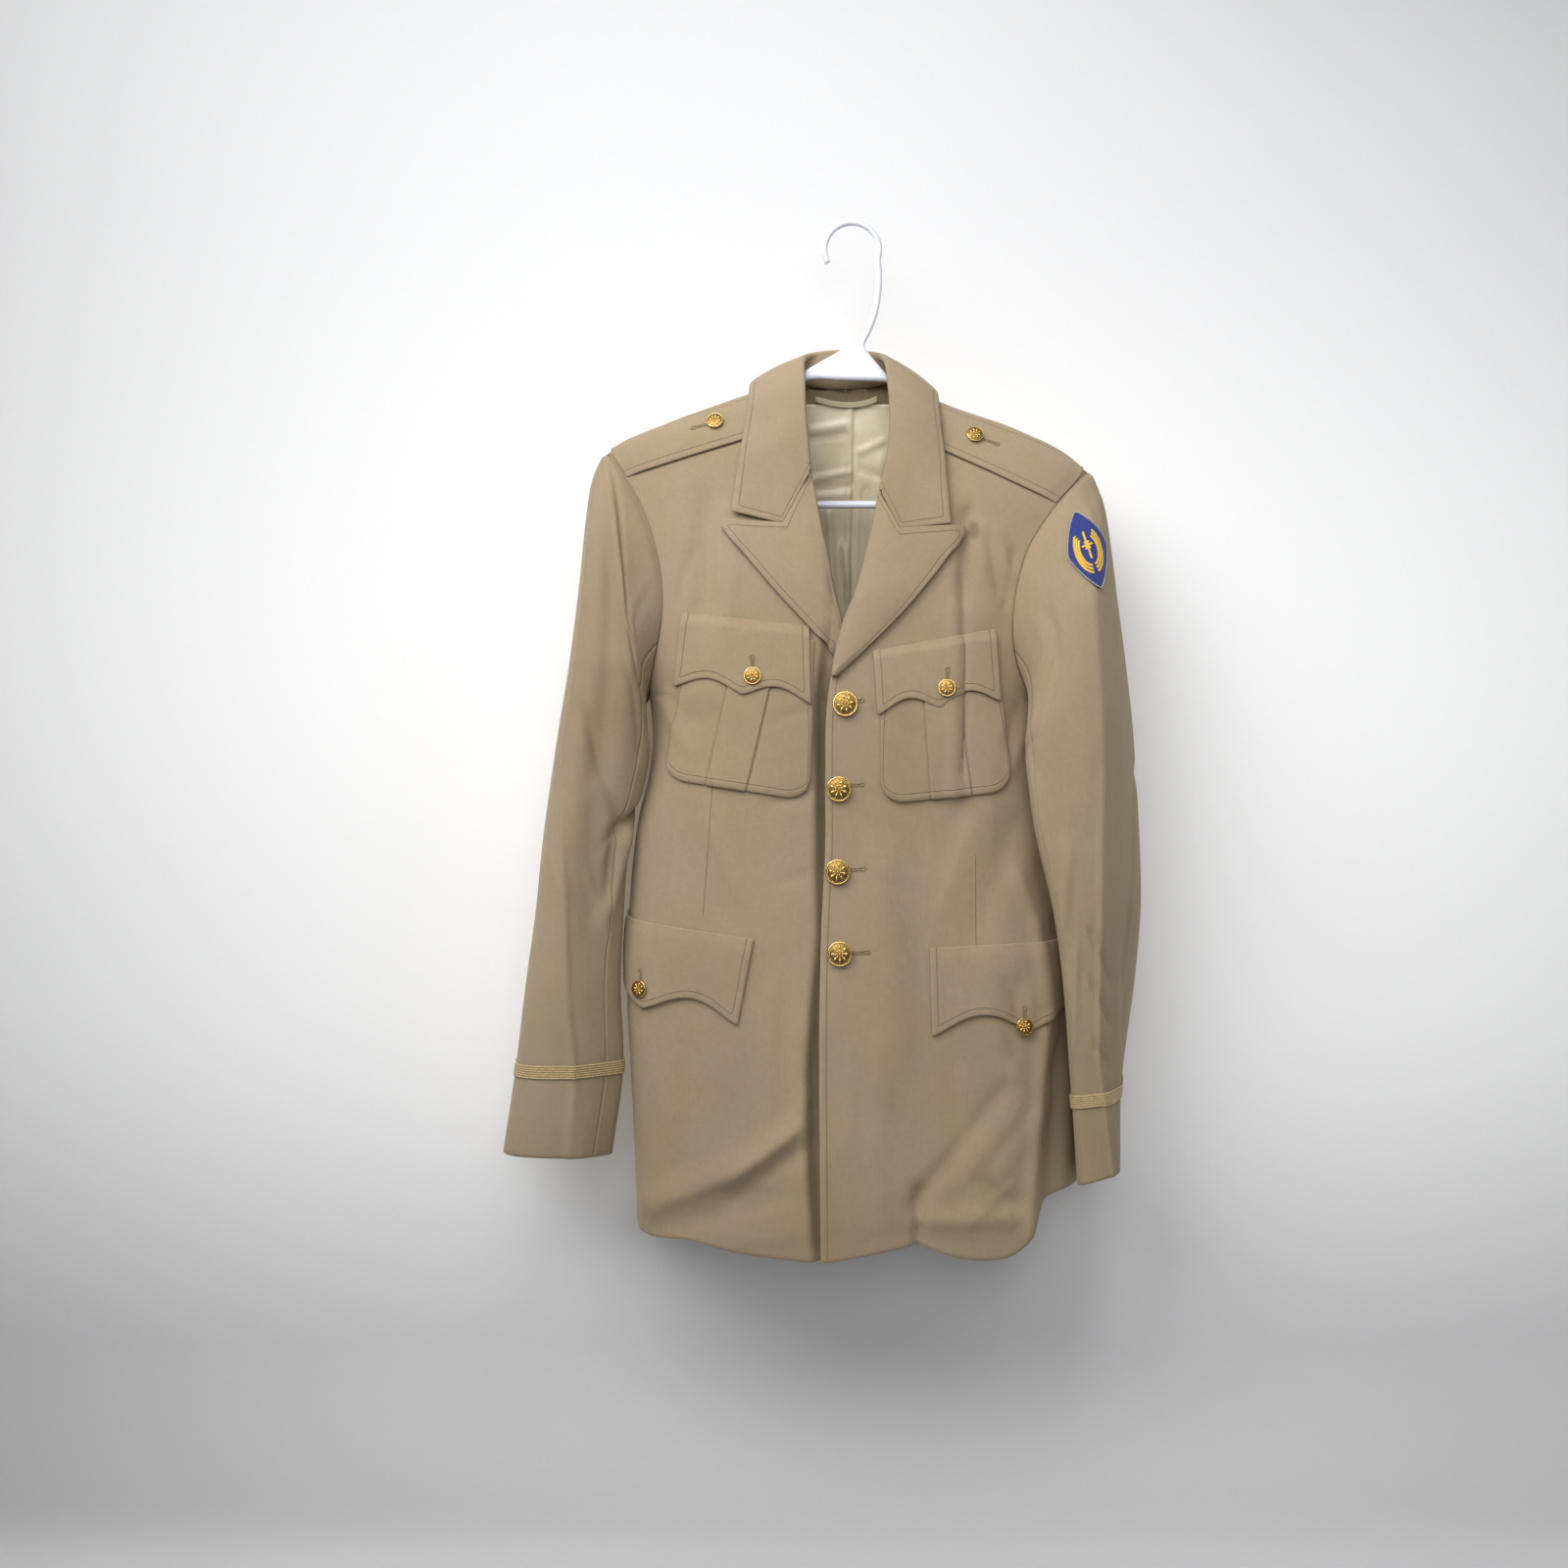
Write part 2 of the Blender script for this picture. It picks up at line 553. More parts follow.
# Folds in the sleeves: from (degrees round from the outer edge to the front, row) to the same, width
# and height in millimetres
PRESSED = {                  # the pressed crease down the front: its place and how far one side turns away
    RIGHT: table("z    x    tilt", (-400, -250, 0.0), (-470, -259, 0.30), (-560, -265, 0.50), (-700, -266, 0.50),
                 (-763, -255, 0.50), (-870, -248, 0.50)),
    LEFT: table("z    x    tilt", (-335, 231, 0.0), (-440, 231, 0.35), (-540, 232, 0.60), (-780, 232, 0.60),
                (-820, 238, 0.50), (-900, 241, 0.30)),
}
SLEEVE_FOLDS = {
    RIGHT: table(
        "q0  w0   q1   w1  width high",
        (66, 4.6, 122, 5.6, 9, -5.0),
        (168, 5.2, 120, 5.8, 8, -7.5),
        (120, 5.8, 121, 6.6, 8, -5.0),
        (140, 5.9, 122, 6.9, 12, 4.0),
        (40, 2.0, 42, 3.3, 6, 2.2),
        (42, 3.3, 44, 5.0, 6, 2.2),
        (44, 5.0, 68, 6.7, 6, 2.0),
        (68, 6.7, 92, 8.8, 5, 2.0),
        (92, 8.8, 103, 10.2, 5, 2.0),
        (74, 2.0, 84, 5.0, 19, -5.0),
        (84, 5.0, 106, 6.9, 19, -2.5),
        (106, 6.9, 124, 8.8, 18, -1.5),
        (124, 8.8, 136, 10.2, 17, -1.5),
        (-90, 4.0, -60, 5.5, 12, -4.0),
        (-130, 6.0, -80, 7.0, 12, 3.5)),
    LEFT: table(
        "q0  w0   q1   w1  width high",
        (56, 1.8, 53, 5.4, 6, 1.8),
        (53, 5.4, 74, 9.0, 5, 2.4),
        (74, 9.0, 62, 11.2, 5, 2.0),
        (36, 1.8, 40, 5.8, 14, -2.5),
        (40, 5.8, 50, 9.0, 12, -2.5),
        (50, 9.0, 30, 11.2, 12, -2.0),
        (130, 4.0, 105, 6.0, 11, -3.0),
        (-20, 5.5, 20, 8.0, 10, -4.0),
        (-25, 6.8, 15, 8.6, 9, -3.5),
        (-100, 4.0, -60, 6.0, 12, -4.5)),
}
ARC_PER_DEGREE = 1.25
ROW_HEIGHT = 66.0
HEAD_ROWS = 2.6


def armhole_loop(side, angle):
    """Points of the armhole seam: angle 0 is the shoulder tip, 180 degrees the underarm."""
    hole = ARMHOLE[side]
    z = hole["under"] + (hole["tip"] - hole["under"]) * (1 + np.cos(angle)) / 2
    z = np.clip(z, hole["under"] + 0.2, hole["tip"] - 0.2)
    front = np.sin(angle) >= 0
    a = np.where(front, armhole_arc(side, z, "front"), armhole_arc(side, z, "back"))
    return body(0, a, z), body(0, a, z, -1.0)


def sleeve_plain(side, angle, row):
    """Points of the sleeve's sections, before the folds: angle 0 is outside, 90 degrees the front."""
    rows = SLEEVE[side]
    value = {name: column(rows, "row", name, row) for name in rows}
    out, deep = rounded(angle, value["square"])
    deep = -deep
    outer = value["out_f"] + (value["out_b"] - value["out_f"]) * (1 + deep) / 2
    inner = value["in_f"] + (value["in_b"] - value["in_f"]) * (1 + deep) / 2
    x = inner + (outer - inner) * (1 + out) / 2
    y = value["front"] + (value["back"] - value["front"]) * (1 + deep) / 2
    z = value["z_in"] + (value["z_out"] - value["z_in"]) * (1 + out) / 2
    line = PRESSED[side]
    beyond = x - column(line, "z", "x", z)
    turned = (beyond + np.sqrt(beyond ** 2 + 9)) / 2
    y = y + column(line, "z", "tilt", z) * turned * np.clip(-deep, 0, 1)
    return np.stack((x, y, z), -1)


def sleeve(side, angle, row, lift=0.0):
    """Points of a sleeve's surface at an angle round it and a row down it, moved out by lift."""
    angle, row = np.broadcast_arrays(np.asarray(angle, float), np.asarray(row, float))
    start = sleeve_plain(side, angle, np.zeros(row.shape))
    seam, seam_in = armhole_loop(side, angle)
    off_seam = np.clip(1 - row / HEAD_ROWS, 0, 1) ** 2

    def shaped(angle_step, row_step):
        turned, down = angle + angle_step, np.clip(row + row_step, 0, None)
        return sleeve_plain(side, turned, down)

    here = shaped(0, 0)
    around = shaped(0.03, 0) - shaped(-0.03, 0)
    down = shaped(0, 0.06) - shaped(0, -0.06)
    normal = np.cross(around, down) * side
    normal /= np.linalg.norm(normal, axis=-1, keepdims=True) + 1e-12
    degrees = np.degrees((angle + math.pi) % (2 * math.pi) - math.pi)
    folds = SLEEVE_FOLDS[side]
    scaled = {"a0": folds["q0"] * ARC_PER_DEGREE, "z0": folds["w0"] * ROW_HEIGHT,
              "a1": folds["q1"] * ARC_PER_DEGREE, "z1": folds["w1"] * ROW_HEIGHT,
              "width": folds["width"], "high": folds["high"]}
    fold = fold_height(scaled, degrees * ARC_PER_DEGREE, row * ROW_HEIGHT) * step(0, 0.8, row)
    off_body = SEAM_GAP + 0.15
    point = here + (seam - start) * off_seam[..., None]
    point[..., 0] += side * off_body * np.clip(1 - row, 0, 1)
    # at the seam the wall's thickness runs as the body's does, but under the arm as the sleeve's
    body_way = seam - seam_in
    body_share = (step(-0.75, -0.1, np.cos(angle)) * np.clip(1 - row * 2, 0, 1))[..., None]
    way = normal * (1 - body_share) + body_way * body_share
    way /= np.linalg.norm(way, axis=-1, keepdims=True)
    return point + way * (fold + np.asarray(lift))[..., None]


def row_at(side, z):
    """The sleeve's row at a height, measured half-way between its outer and inner edge."""
    rows = SLEEVE[side]
    middle = (rows["z_out"] + rows["z_in"]) / 2
    return float(np.interp(-z, -middle, rows["row"]))


BRAID_WIDE = 12.7
BRAID_HEIGHT = {RIGHT: -777.0, LEFT: -799.0}


def braid_rows(side):
    """The sleeve's rows at the upper and lower edge of the cuff braid."""
    return np.array([row_at(side, BRAID_HEIGHT[side] + half) for half in (BRAID_WIDE / 2, -BRAID_WIDE / 2)])


SEAM_DEGREES = 0.14


def make_sleeve(side, word, finish):
    """The two cut pieces of a sleeve, each from the armhole to the cuff."""
    last = SLEEVE[side]["row"][-1]
    rows = np.concatenate((np.linspace(0, 3, 7), np.linspace(3, last, 12)[1:]))
    braid = braid_rows(side)           # two rows of the sleeve lie where the braid's edges are
    far = np.abs(rows[:, None] - braid).min(axis=1) > 0.3
    rows = np.sort(np.concatenate((rows[far], braid)))[:, None]
    for piece, columns in (("top", TOP_COLUMNS), ("under", UNDER_COLUMNS)):
        angle = np.radians(columns)[None, :].copy()
        angle[0, 0] += math.radians(SEAM_DEGREES)
        angle[0, -1] -= math.radians(SEAM_DEGREES)
        outer, inner = sleeve(side, angle, rows), sleeve(side, angle, rows, -SLEEVE_WALL)
        out = normals(outer, outer - inner)
        inner[1:, 1:-1] = (outer - out * SLEEVE_WALL)[1:, 1:-1]
        wall(f"sleeve_{word}_{piece}", outer, inner, finish)


def make_braid(side, word, finish):
    """The band of braid round a cuff."""
    angle = np.radians(np.concatenate((TOP_COLUMNS, UNDER_COLUMNS[1:-1])))[None, :]
    rows = braid_rows(side)[:, None]
    wall(f"cuff_braid_{word}", sleeve(side, angle, rows, 1.8), sleeve(side, angle, rows, 0.6), finish,
         ring=True)


# Badge on the left sleeve, as seen from the front: its middle, and the steps from there to its outer
# corner and to its top
PATCH = dict(x=219.5, z=-297.0, right=(17.0, 8.0), top=(-9.0, 36.0), square=1.3)


def sleeve_spot(side, x, z, guess):
    """Angle and row of the front of a sleeve where it has the given x and z."""
    angle, row = np.full(np.shape(x), guess[0]), np.full(np.shape(x), guess[1])
    for _ in range(12):
        here = sleeve(side, angle, row)
        by_angle = (sleeve(side, angle + 0.02, row) - here) / 0.02
        by_row = (sleeve(side, angle, row + 0.02) - here) / 0.02
        off_x, off_z = x - here[..., 0], z - here[..., 2]
        size = by_angle[..., 0] * by_row[..., 2] - by_angle[..., 2] * by_row[..., 0]
        angle = angle + np.clip((off_x * by_row[..., 2] - off_z * by_row[..., 0]) / size, -0.3, 0.3)
        row = row + np.clip((off_z * by_angle[..., 0] - off_x * by_angle[..., 2]) / size, -0.5, 0.5)
    return angle, row


def make_sleeve_patch(finish):
    """The sewn badge high on the left sleeve: a rounded diamond that follows the sleeve."""
    turns = np.radians(np.arange(0, 360, 15))
    size = np.array((0.04, 0.36, 0.7, 1.0))[:, None]
    across, up = rounded(turns, PATCH["square"])
    across, up = across * size, up * size
    x, z = (PATCH[name] + across * PATCH["right"][k] + up * PATCH["top"][k]
            for k, name in enumerate(("x", "z")))
    angle, row = sleeve_spot(LEFT, x, z, (1.1, 1.5))
    outer, inner = sleeve(LEFT, angle, row, 2.6), sleeve(LEFT, angle, row, 1.4)
    points = np.concatenate((outer.reshape(-1, 3), inner.reshape(-1, 3)))
    rings, count = outer.shape[:2]
    shift = rings * count
    faces = [list(range(count)), [shift + k for k in reversed(range(count))]]
    for r in range(rings - 1):
        for k in range(count):
            m = (k + 1) % count
            quad = [r * count + k, r * count + m, (r + 1) * count + m, (r + 1) * count + k]
            faces += [quad, [q + shift for q in reversed(quad)]]
    last = (rings - 1) * count
    for k in range(count):
        m = (k + 1) % count
        faces.append([last + m, last + k, last + k + shift, last + m + shift])
    add_object("sleeve_patch", points, faces, finish)


# --- Collar and lapels ---------------------------------------------------------------------------------
# Stations round the neck from the right gorge over the back to the left one. The seam (where the stand
# starts) and the edge (where the fall ends) are given by x and z on the body; on is -1 on the front, 0 on
# the shoulder ridge and 1 on the back. The fold between them has fold_off, its depth counted from the seam.
COLLAR = table(
    "station on seam_x seam_z fold_x fold_off fold_z edge_x edge_z",
    (0, -1, -38.6, -221.5, -35.5, -6.2, -221, -108, -261),
    (1, -1, -41, -200, -37.5, -10, -196, -103, -224),
    (2, -1, -46, -172, -40, -13, -165, -98, -190),
    (3, -1, -51, -146, -41, -9, -134, -92, -160),
    (4, 0, -57, -123.6, -41, -10, -111, -85, -137),
    (5, 1, -45, -128.5, -34, 1, -99.5, -64, -141),
    (6, 1, -24, -132.5, -18, 4, -95.5, -34, -144),
    (7, 1, -1, -135, -1, 5, -94.5, -1, -145),
    (8, 1, 22, -132.5, 15, 4, -95.5, 30, -145),
    (9, 1, 42, -128.5, 29, 0, -100, 59, -144),
    (10, 0, 51, -124, 36, -10, -111, 80, -145),
    (11, -1, 47, -148, 38.5, -10, -140, 84, -168),
    (12, -1, 43, -175, 39.5, -12, -170, 88, -200),
    (13, -1, 39, -205, 36, -10, -206, 91, -236),
    (14, -1, 31.5, -243, 29, -6.2, -240, 92, -272),
)
# How far the fall's edge stands off the body, by station: more where it lies on the shoulder straps
FALL_LIFT = ((0, 2, 3.5, 5, 9, 10.5, 12, 14), (7.0, 8.0, 10.0, 8.5, 8.5, 10.0, 8.0, 7.0))
STAND_OFF = 1.4
FOLD_HALF = 2.3
NOTCH = {0: (-61.0, -271.0), 14: (47.0, -276.5)}        # by station: x and z where fall and lapel part
NOTCH_SHARE = 0.54


def on_body(on, x, z, lift):
    """A point on the body by x and z, on its front, its shoulder ridge or its back."""
    side = LEFT if x > 0 else RIGHT
    if on == 0:
        name = "left_f" if x > 0 else "right_f"
        z = float(np.interp(abs(x), np.abs(BODY[name][:RIDGE_ROWS]), BODY["z"][:RIDGE_ROWS]))
        return body(0, side_arc(side, z), z, lift)
    if on < 0:
        return body(0, arc_at(x, z), z, lift)
    section = SECTIONS[int(round((z - HEIGHTS[0]) / LATTICE_STEP))]
    return body(0, back_at(section, side, x), z, lift)


def collar_lines():
    """Seam, fold and edge points of the collar at its stations."""
    seam, fold, edge = [], [], []
    for i in range(len(COLLAR["station"])):
        row = {name: values[i] for name, values in COLLAR.items()}
        seam.append(on_body(row["on"], row["seam_x"], row["seam_z"], 0.0))
        edge.append(on_body(row["on"], row["edge_x"], row["edge_z"],
                            np.interp(row["station"], *FALL_LIFT)))
        fold.append((row["fold_x"], seam[-1][1] + row["fold_off"], row["fold_z"]))
    return np.array(seam), np.array(fold), np.array(edge)


def finer(points, times):
    """A smooth curve through points, with more of them."""
    index = np.arange(len(points), dtype=float)
    at = np.linspace(0, len(points) - 1, (len(points) - 1) * times + 1)
    rows = {"i": index, "x": points[:, 0], "y": points[:, 1], "z": points[:, 2]}
    return np.stack([column(rows, "i", axis, at) for axis in "xyz"], -1), at


def unit(v):
    """Vectors of the same direction and of length 1."""
    return v / (np.linalg.norm(v, axis=-1, keepdims=True) + 1e-12)


def broken_line(start, corner, end, share_at_corner, share):
    """A place by its share along two straight runs that meet at a corner, as x and z."""
    marks = (0, share_at_corner, 1)
    return np.array([np.interp(share, marks, (start[k], corner[k], end[k])) for k in (0, 1)])


def make_collar(finish):
    """The collar: a stand and a fall that are one wall, folded over at the top."""
    seam, fold, edge = collar_lines()
    (seam, at), (fold, _), (edge, _) = finer(seam, 2), finer(fold, 2), finer(edge, 2)
    along = unit(np.gradient(fold, axis=0))
    tip = unit(fold - (seam + edge) / 2)
    tip = unit(tip - along * np.sum(tip * along, -1, keepdims=True))
    out = unit(np.cross(tip, along))
    out = out * np.sign(np.sum(out * (edge - seam), -1, keepdims=True))
    start = seam + unit(fold - seam) * STAND_OFF
    half = np.interp(at, (0, 1.5, 12.5, 14), (1.8, FOLD_HALF, FOLD_HALF, 1.8))[:, None]
    swell = np.interp(at, (0, 2, 12, 14), (7, 12, 12, 7))[:, None]
    rows, sides = [], []
    top = fold - (out + tip) * half
    off_stand = unit(np.cross(top - start, along))
    off_stand = off_stand * -np.sign(np.sum(off_stand * out, -1, keepdims=True))
    for share in (0.0, 0.5):
        rows.append(start + (top - start) * share)
        sides.append(off_stand)
    for turn in (180, 135, 90, 45):
        angle = math.radians(turn)
        rows.append(fold + (out * math.cos(angle) + tip * (math.sin(angle) - 1)) * half)
        sides.append(out * math.cos(angle) + tip * math.sin(angle))
    for share in (0.1, 0.3, NOTCH_SHARE, 0.77, 1.0):
        top = fold + out * half - tip * half
        point = top + (edge - top) * share + out * swell * share * (1 - share)
        for station, (x, z) in NOTCH.items():
            near = np.clip(1 - np.abs(at - station) / 1.3, 0, 1)
            last = list(at).index(station)
            bent = broken_line((fold[last, 0], fold[last, 2]), (x, z), (edge[last, 0], edge[last, 2]),
                               NOTCH_SHARE, share)
            point = point + near[:, None] * (np.array((bent[0], 0, bent[1])) - point[last] * (1, 0, 1))
        rows.append(point)
    grid = np.array(rows)
    side = np.concatenate((sides, normals(grid[len(sides):], out[None])))
    wall("collar", grid + side * COLLAR_WALL / 2, grid - side * COLLAR_WALL / 2, finish)


# Lapels: rows from the break upwards; roll is the fold line, edge the outer edge. The last row is the top
# edge, which is broken at the notch.
LAPEL = {
    RIGHT: table(
        "roll_x roll_z edge_x edge_z",
        (4, -397, -6, -401), (-6.5, -363, -35, -369), (-14, -334, -62, -340), (-19.8, -304, -88, -310),
        (-25.8, -275, -111, -283), (-34.6, -222.4, -115, -268.5)),
    LEFT: table(
        "roll_x roll_z edge_x edge_z",
        (-16.8, -412, -12, -413.5), (-12.5, -390, 22, -381), (-4.8, -362, 50, -352), (6.8, -333, 70, -329),
        (14.2, -305, 86, -309), (20, -283, 101, -288), (28.0, -241.4, 106, -273)),
}
LAPEL_NOTCH = {RIGHT: (-60.2, -272.2, 0.33), LEFT: (46.2, -277.6, 0.33)}
LAPEL_SHARES = np.array((0, 0.06, 0.16, 0.33, 0.5, 0.67, 0.84, 1))
LAPEL_LIFT = np.array((0.6, 3.0, 4.6, 5.4, 5.4, 5.0, 4.2, 3.0))
LAPEL_TIP_OUT = 2.5


def make_lapel(side, word, finish):
    """The turned-back top of a front, from the roll line to its pointed outer edge."""
    rows = LAPEL[side]
    x = rows["roll_x"][:, None] + (rows["edge_x"] - rows["roll_x"])[:, None] * LAPEL_SHARES
    z = rows["roll_z"][:, None] + (rows["edge_z"] - rows["roll_z"])[:, None] * LAPEL_SHARES
    corner_x, corner_z, share = LAPEL_NOTCH[side]
    x[-1], z[-1] = broken_line((x[-1, 0], z[-1, 0]), (corner_x, corner_z), (x[-1, -1], z[-1, -1]),
                               share, LAPEL_SHARES)
    half_x, half_z = (x[-1] + x[-2]) / 2, (z[-1] + z[-2]) / 2
    half_x[-1] += side * LAPEL_TIP_OUT
    x, z = np.insert(x, -1, half_x, axis=0), np.insert(z, -1, half_z, axis=0)
    lift = LAPEL_LIFT + 0 * z
    if side == RIGHT:                  # its lowest end lies flat, under the other lapel
        lift = lift * step(-402, -385, z) + 0.5 * step(-385, -402, z)
    a = arc_at(x, z)
    wall(f"lapel_{word}", body(side, a, z, lift + LAPEL_WALL), body(side, a, z, lift), finish)


# --- Pockets, flaps and straps -------------------------------------------------------------------------
# Corners of each pocket and flap on the front, as (x, z); out_x is where a flap that wraps round the
# side would end if its width lay flat
CHEST_POCKET = {
    RIGHT: dict(top_in=(-33, -380), top_out=(-151, -372), low_in=(-36, -527), low_out=(-174, -506)),
    LEFT: dict(top_in=(28, -398), top_out=(137, -386), low_in=(29, -530), low_out=(152, -518)),
}
CHEST_FLAP = {
    RIGHT: dict(top_in=(-37, -367), top_out=(-154, -354), low_in=(-35.5, -438), low_out=(-161, -421)),
    LEFT: dict(top_in=(22, -390), top_out=(135, -369), low_in=(26, -448), low_out=(139, -435)),
}
LOWER_FLAP = {
    RIGHT: dict(top_in=(-88, -655), top_out=(-273, -628), low_in=(-103, -733), low_out=(-282, -706)),
    LEFT: dict(top_in=(74, -663), top_out=(259, -655), low_in=(76, -743), low_out=(262, -737)),
}
POCKET_ROUND = 20.0
ON_CLOTH = 0.8               # how far a sewn-on piece stands off the facets of the panel under it
SCALLOP = {"chest": 11.0, "lower": 17.0}
CHEST_RISE, LOWER_RISE = 3.4, 1.0
PLEAT = dict(low=0.30, high=0.66, rise=1.3)


def between(corners, across, down):
    """x and z at shares across (from the inner edge) and down (from the top edge) of four corners."""
    top = [np.interp(across, (0, 1), (corners["top_in"][k], corners["top_out"][k])) for k in (0, 1)]
    low = [np.interp(across, (0, 1), (corners["low_in"][k], corners["low_out"][k])) for k in (0, 1)]
    return tuple(t + (b - t) * down for t, b in zip(top, low))


def flat_arc(side, x, z):
    """Distance along the section for an x; past the front face it goes on at full length."""
    turn = side * 120.0
    safe = np.clip(x, -120.0, 120.0)
    return arc_at(safe, np.clip(z, Z_LOW, Z_TOP)) + (x - safe) * (np.abs(x) > abs(turn))


def make_pocket(side, word, finish):
    """A patch pocket with a box pleat and round lower corners."""
    corners = CHEST_POCKET[side]
    lines = (0, 0.07, 0.16, PLEAT["low"] - 0.02, PLEAT["low"] + 0.02, 0.48, PLEAT["high"] - 0.02,
             PLEAT["high"] + 0.02, 0.84, 0.93, 1)
    across = np.array(lines)[None, :]
    down = np.linspace(0, 1, 9)[:, None]
    wide = abs(corners["top_out"][0] - corners["top_in"][0])
    tall = abs(corners["low_in"][1] - corners["top_in"][1])
    from_edge = np.clip(np.minimum(across, 1 - across) * wide, 0, POCKET_ROUND)
    cut = POCKET_ROUND - np.sqrt(POCKET_ROUND ** 2 - (POCKET_ROUND - from_edge) ** 2)
    x, z = between(corners, across, down * (1 - cut / tall))
    a = flat_arc(side, x, z)
    pleat = ((across > PLEAT["low"]) & (across < PLEAT["high"])) * PLEAT["rise"] + 0 * down
    wall(f"chest_pocket_{word}", body(side, a, z, ON_CLOTH + PATCH_WALL + pleat),
         body(side, a, z, ON_CLOTH), finish)


def make_flap(kind, corners, side, word, rise, finish):
    """A pocket flap with three points along its lower edge."""
    across = np.linspace(0, 1, 17)[None, :]
    down = np.linspace(0, 1, 5)[:, None]
    tall = abs(corners["low_in"][1] - corners["top_in"][1])
    bite = np.abs(np.sin(2 * math.pi * across)) ** 1.3 * SCALLOP[kind] / tall
    x, z = between(corners, across, down * (1 - bite))
    a = flat_arc(side, x, z)
    lift = ON_CLOTH + rise * step(0.02, 0.18, down) + 0 * across
    wall(f"{kind}_flap_{word}", body(side, a, z, lift + FLAP_WALL), body(side, a, z, lift), finish)


# Shoulder straps: x where front edge, middle and back edge start under the collar; z of the front edge
# there and at the sleeve; the width there and at the sleeve; and x of the armhole seam where the three end
STRAP = {
    RIGHT: dict(starts=(-92.0, -87.0, -83.0), front_z=(-188.0, -224.0), wide=(50, 56), ends=(-206.5, -224.0, -220.0)),
    LEFT: dict(starts=(84.0, 81.0, 78.0), front_z=(-198.0, -249.5), wide=(52, 56), ends=(193.5, 219.0, 224.0)),
}
STRAP_OFF, STRAP_WALL = 1.8, 2.0
STRAP_ROWS, STRAP_COLS = 12, 9


def shoulder_profile(x):
    """The shoulder cut at x: lengths from the ridge (positive in front) and the points there."""
    side = LEFT if x > 0 else RIGHT
    ridge_x = np.abs(BODY["left_f" if x > 0 else "right_f"][:RIDGE_ROWS])
    top = float(np.interp(abs(x), ridge_x, BODY["z"][:RIDGE_ROWS]))
    ridge = (x, float(column(BODY, "z", "front", top) + column(BODY, "z", "back", top)) / 2, top)
    steps = np.concatenate((np.linspace(0, 1, 12)[1:] ** 2 * 24, np.linspace(28, 90, 16)))
    runs = []
    for half in (BACK_HALF[side], FRONT_HALF):
        points = [ridge]
        for z in top - steps:
            _, section_x, section_y = SECTIONS[int(round((z - HEIGHTS[0]) / LATTICE_STEP))]
            order = np.argsort(section_x[half])
            points.append((x, np.interp(x, section_x[half][order], section_y[half][order]), z))
        points = np.array(points)
        runs.append((np.concatenate(([0], np.cumsum(np.linalg.norm(np.diff(points, axis=0), axis=1)))),
                          points))
    (back_length, back), (front_length, front) = runs
    return (np.concatenate((-back_length[:0:-1], front_length)),
            np.concatenate((back[:0:-1], front)))


def make_strap(side, word, finish):
    """A shoulder strap, sewn in at the sleeve and buttoned by the collar."""
    strap = STRAP[side]
    grid = np.empty((STRAP_ROWS, STRAP_COLS, 3))
    for i, along in enumerate(np.linspace(0, 1, STRAP_ROWS)):
        wide, front_z = (np.interp(along, (0, 1), strap[name]) for name in ("wide", "front_z"))
        for j, across in enumerate(np.linspace(0, 1, STRAP_COLS)):
            start, end = (np.interp(across, (0, 0.5, 1), strap[name]) for name in ("starts", "ends"))
            length, points = shoulder_profile(start + (end - start) * along)
            front = length >= 0
            reach = np.interp(-front_z, -points[front, 2], length[front]) - wide * across
            grid[i, j] = [np.interp(reach, length, points[:, k]) for k in range(3)]
    for _ in range(2):
        grid[1:-1] = (grid[:-2] + 2 * grid[1:-1] + grid[2:]) / 4
    up = normals(grid, np.array((0, -0.3, 1.0)))
    wall(f"shoulder_strap_{word}", grid + up * (STRAP_OFF + STRAP_WALL), grid + up * STRAP_OFF, finish)
    return grid + up * (STRAP_OFF + STRAP_WALL), up


# --- Buttons -------------------------------------------------------------------------------------------
BIG_BUTTON, SMALL_BUTTON = 22.9 / 2, 15.9 / 2


def make_button(name, radius, place, out, finish):
    """A domed metal button on its shank, standing on the cloth at a place."""
    scale = radius / BIG_BUTTON
    shank, back, rim, dome = 1.9 * scale, 2.0, 3.3 * scale + 0.5, 6.6 * scale
    profile = [(0, 0), (shank, 0), (shank, back), (radius * 0.9, back + 0.4), (radius, rim),
               (radius * 0.94, rim + 0.9), (radius * 0.6, dome - 0.5), (0, dome)]
    lathe(name, profile, np.array(place) + np.array(out) * SEAM_GAP, out, finish)


def on_panel(side, x, z, lift):
    """A point on a front and the direction out of it."""
    a = flat_arc(side, np.array(x, float), np.array(z, float))
    base, above = body(side, a, z, lift), body(side, a, z, lift + 1)
    return base, above - base


FRONT_BUTTONS = ((-4, -438.6), (-9.9, -516.5), (-10.8, -592.5), (-9, -667.7))
CHEST_BUTTONS = {RIGHT: (-88.5, -413), LEFT: (90, -424)}
LOWER_BUTTONS = {RIGHT: (-194, -702), LEFT: (163, -736)}


def make_buttons(finish, straps):
    """All ten buttons."""
    for i, (x, z) in enumerate(FRONT_BUTTONS, 1):
        place, out = on_panel(LEFT, x, z, 0)
        make_button(f"button_front_{i}", BIG_BUTTON, place, out, finish)
    for side, word in ((RIGHT, "right"), (LEFT, "left")):
        place, out = on_panel(side, *CHEST_BUTTONS[side], ON_CLOTH + CHEST_RISE + FLAP_WALL)
        make_button(f"button_chest_{word}", SMALL_BUTTON, place, out, finish)
        place, out = on_panel(side, *LOWER_BUTTONS[side], ON_CLOTH + LOWER_RISE + FLAP_WALL)
        make_button(f"button_lower_{word}", SMALL_BUTTON, place, out, finish)
        top, up = straps[side]
        make_button(f"button_strap_{word}", SMALL_BUTTON, top[3, 4], up[3, 4], finish)


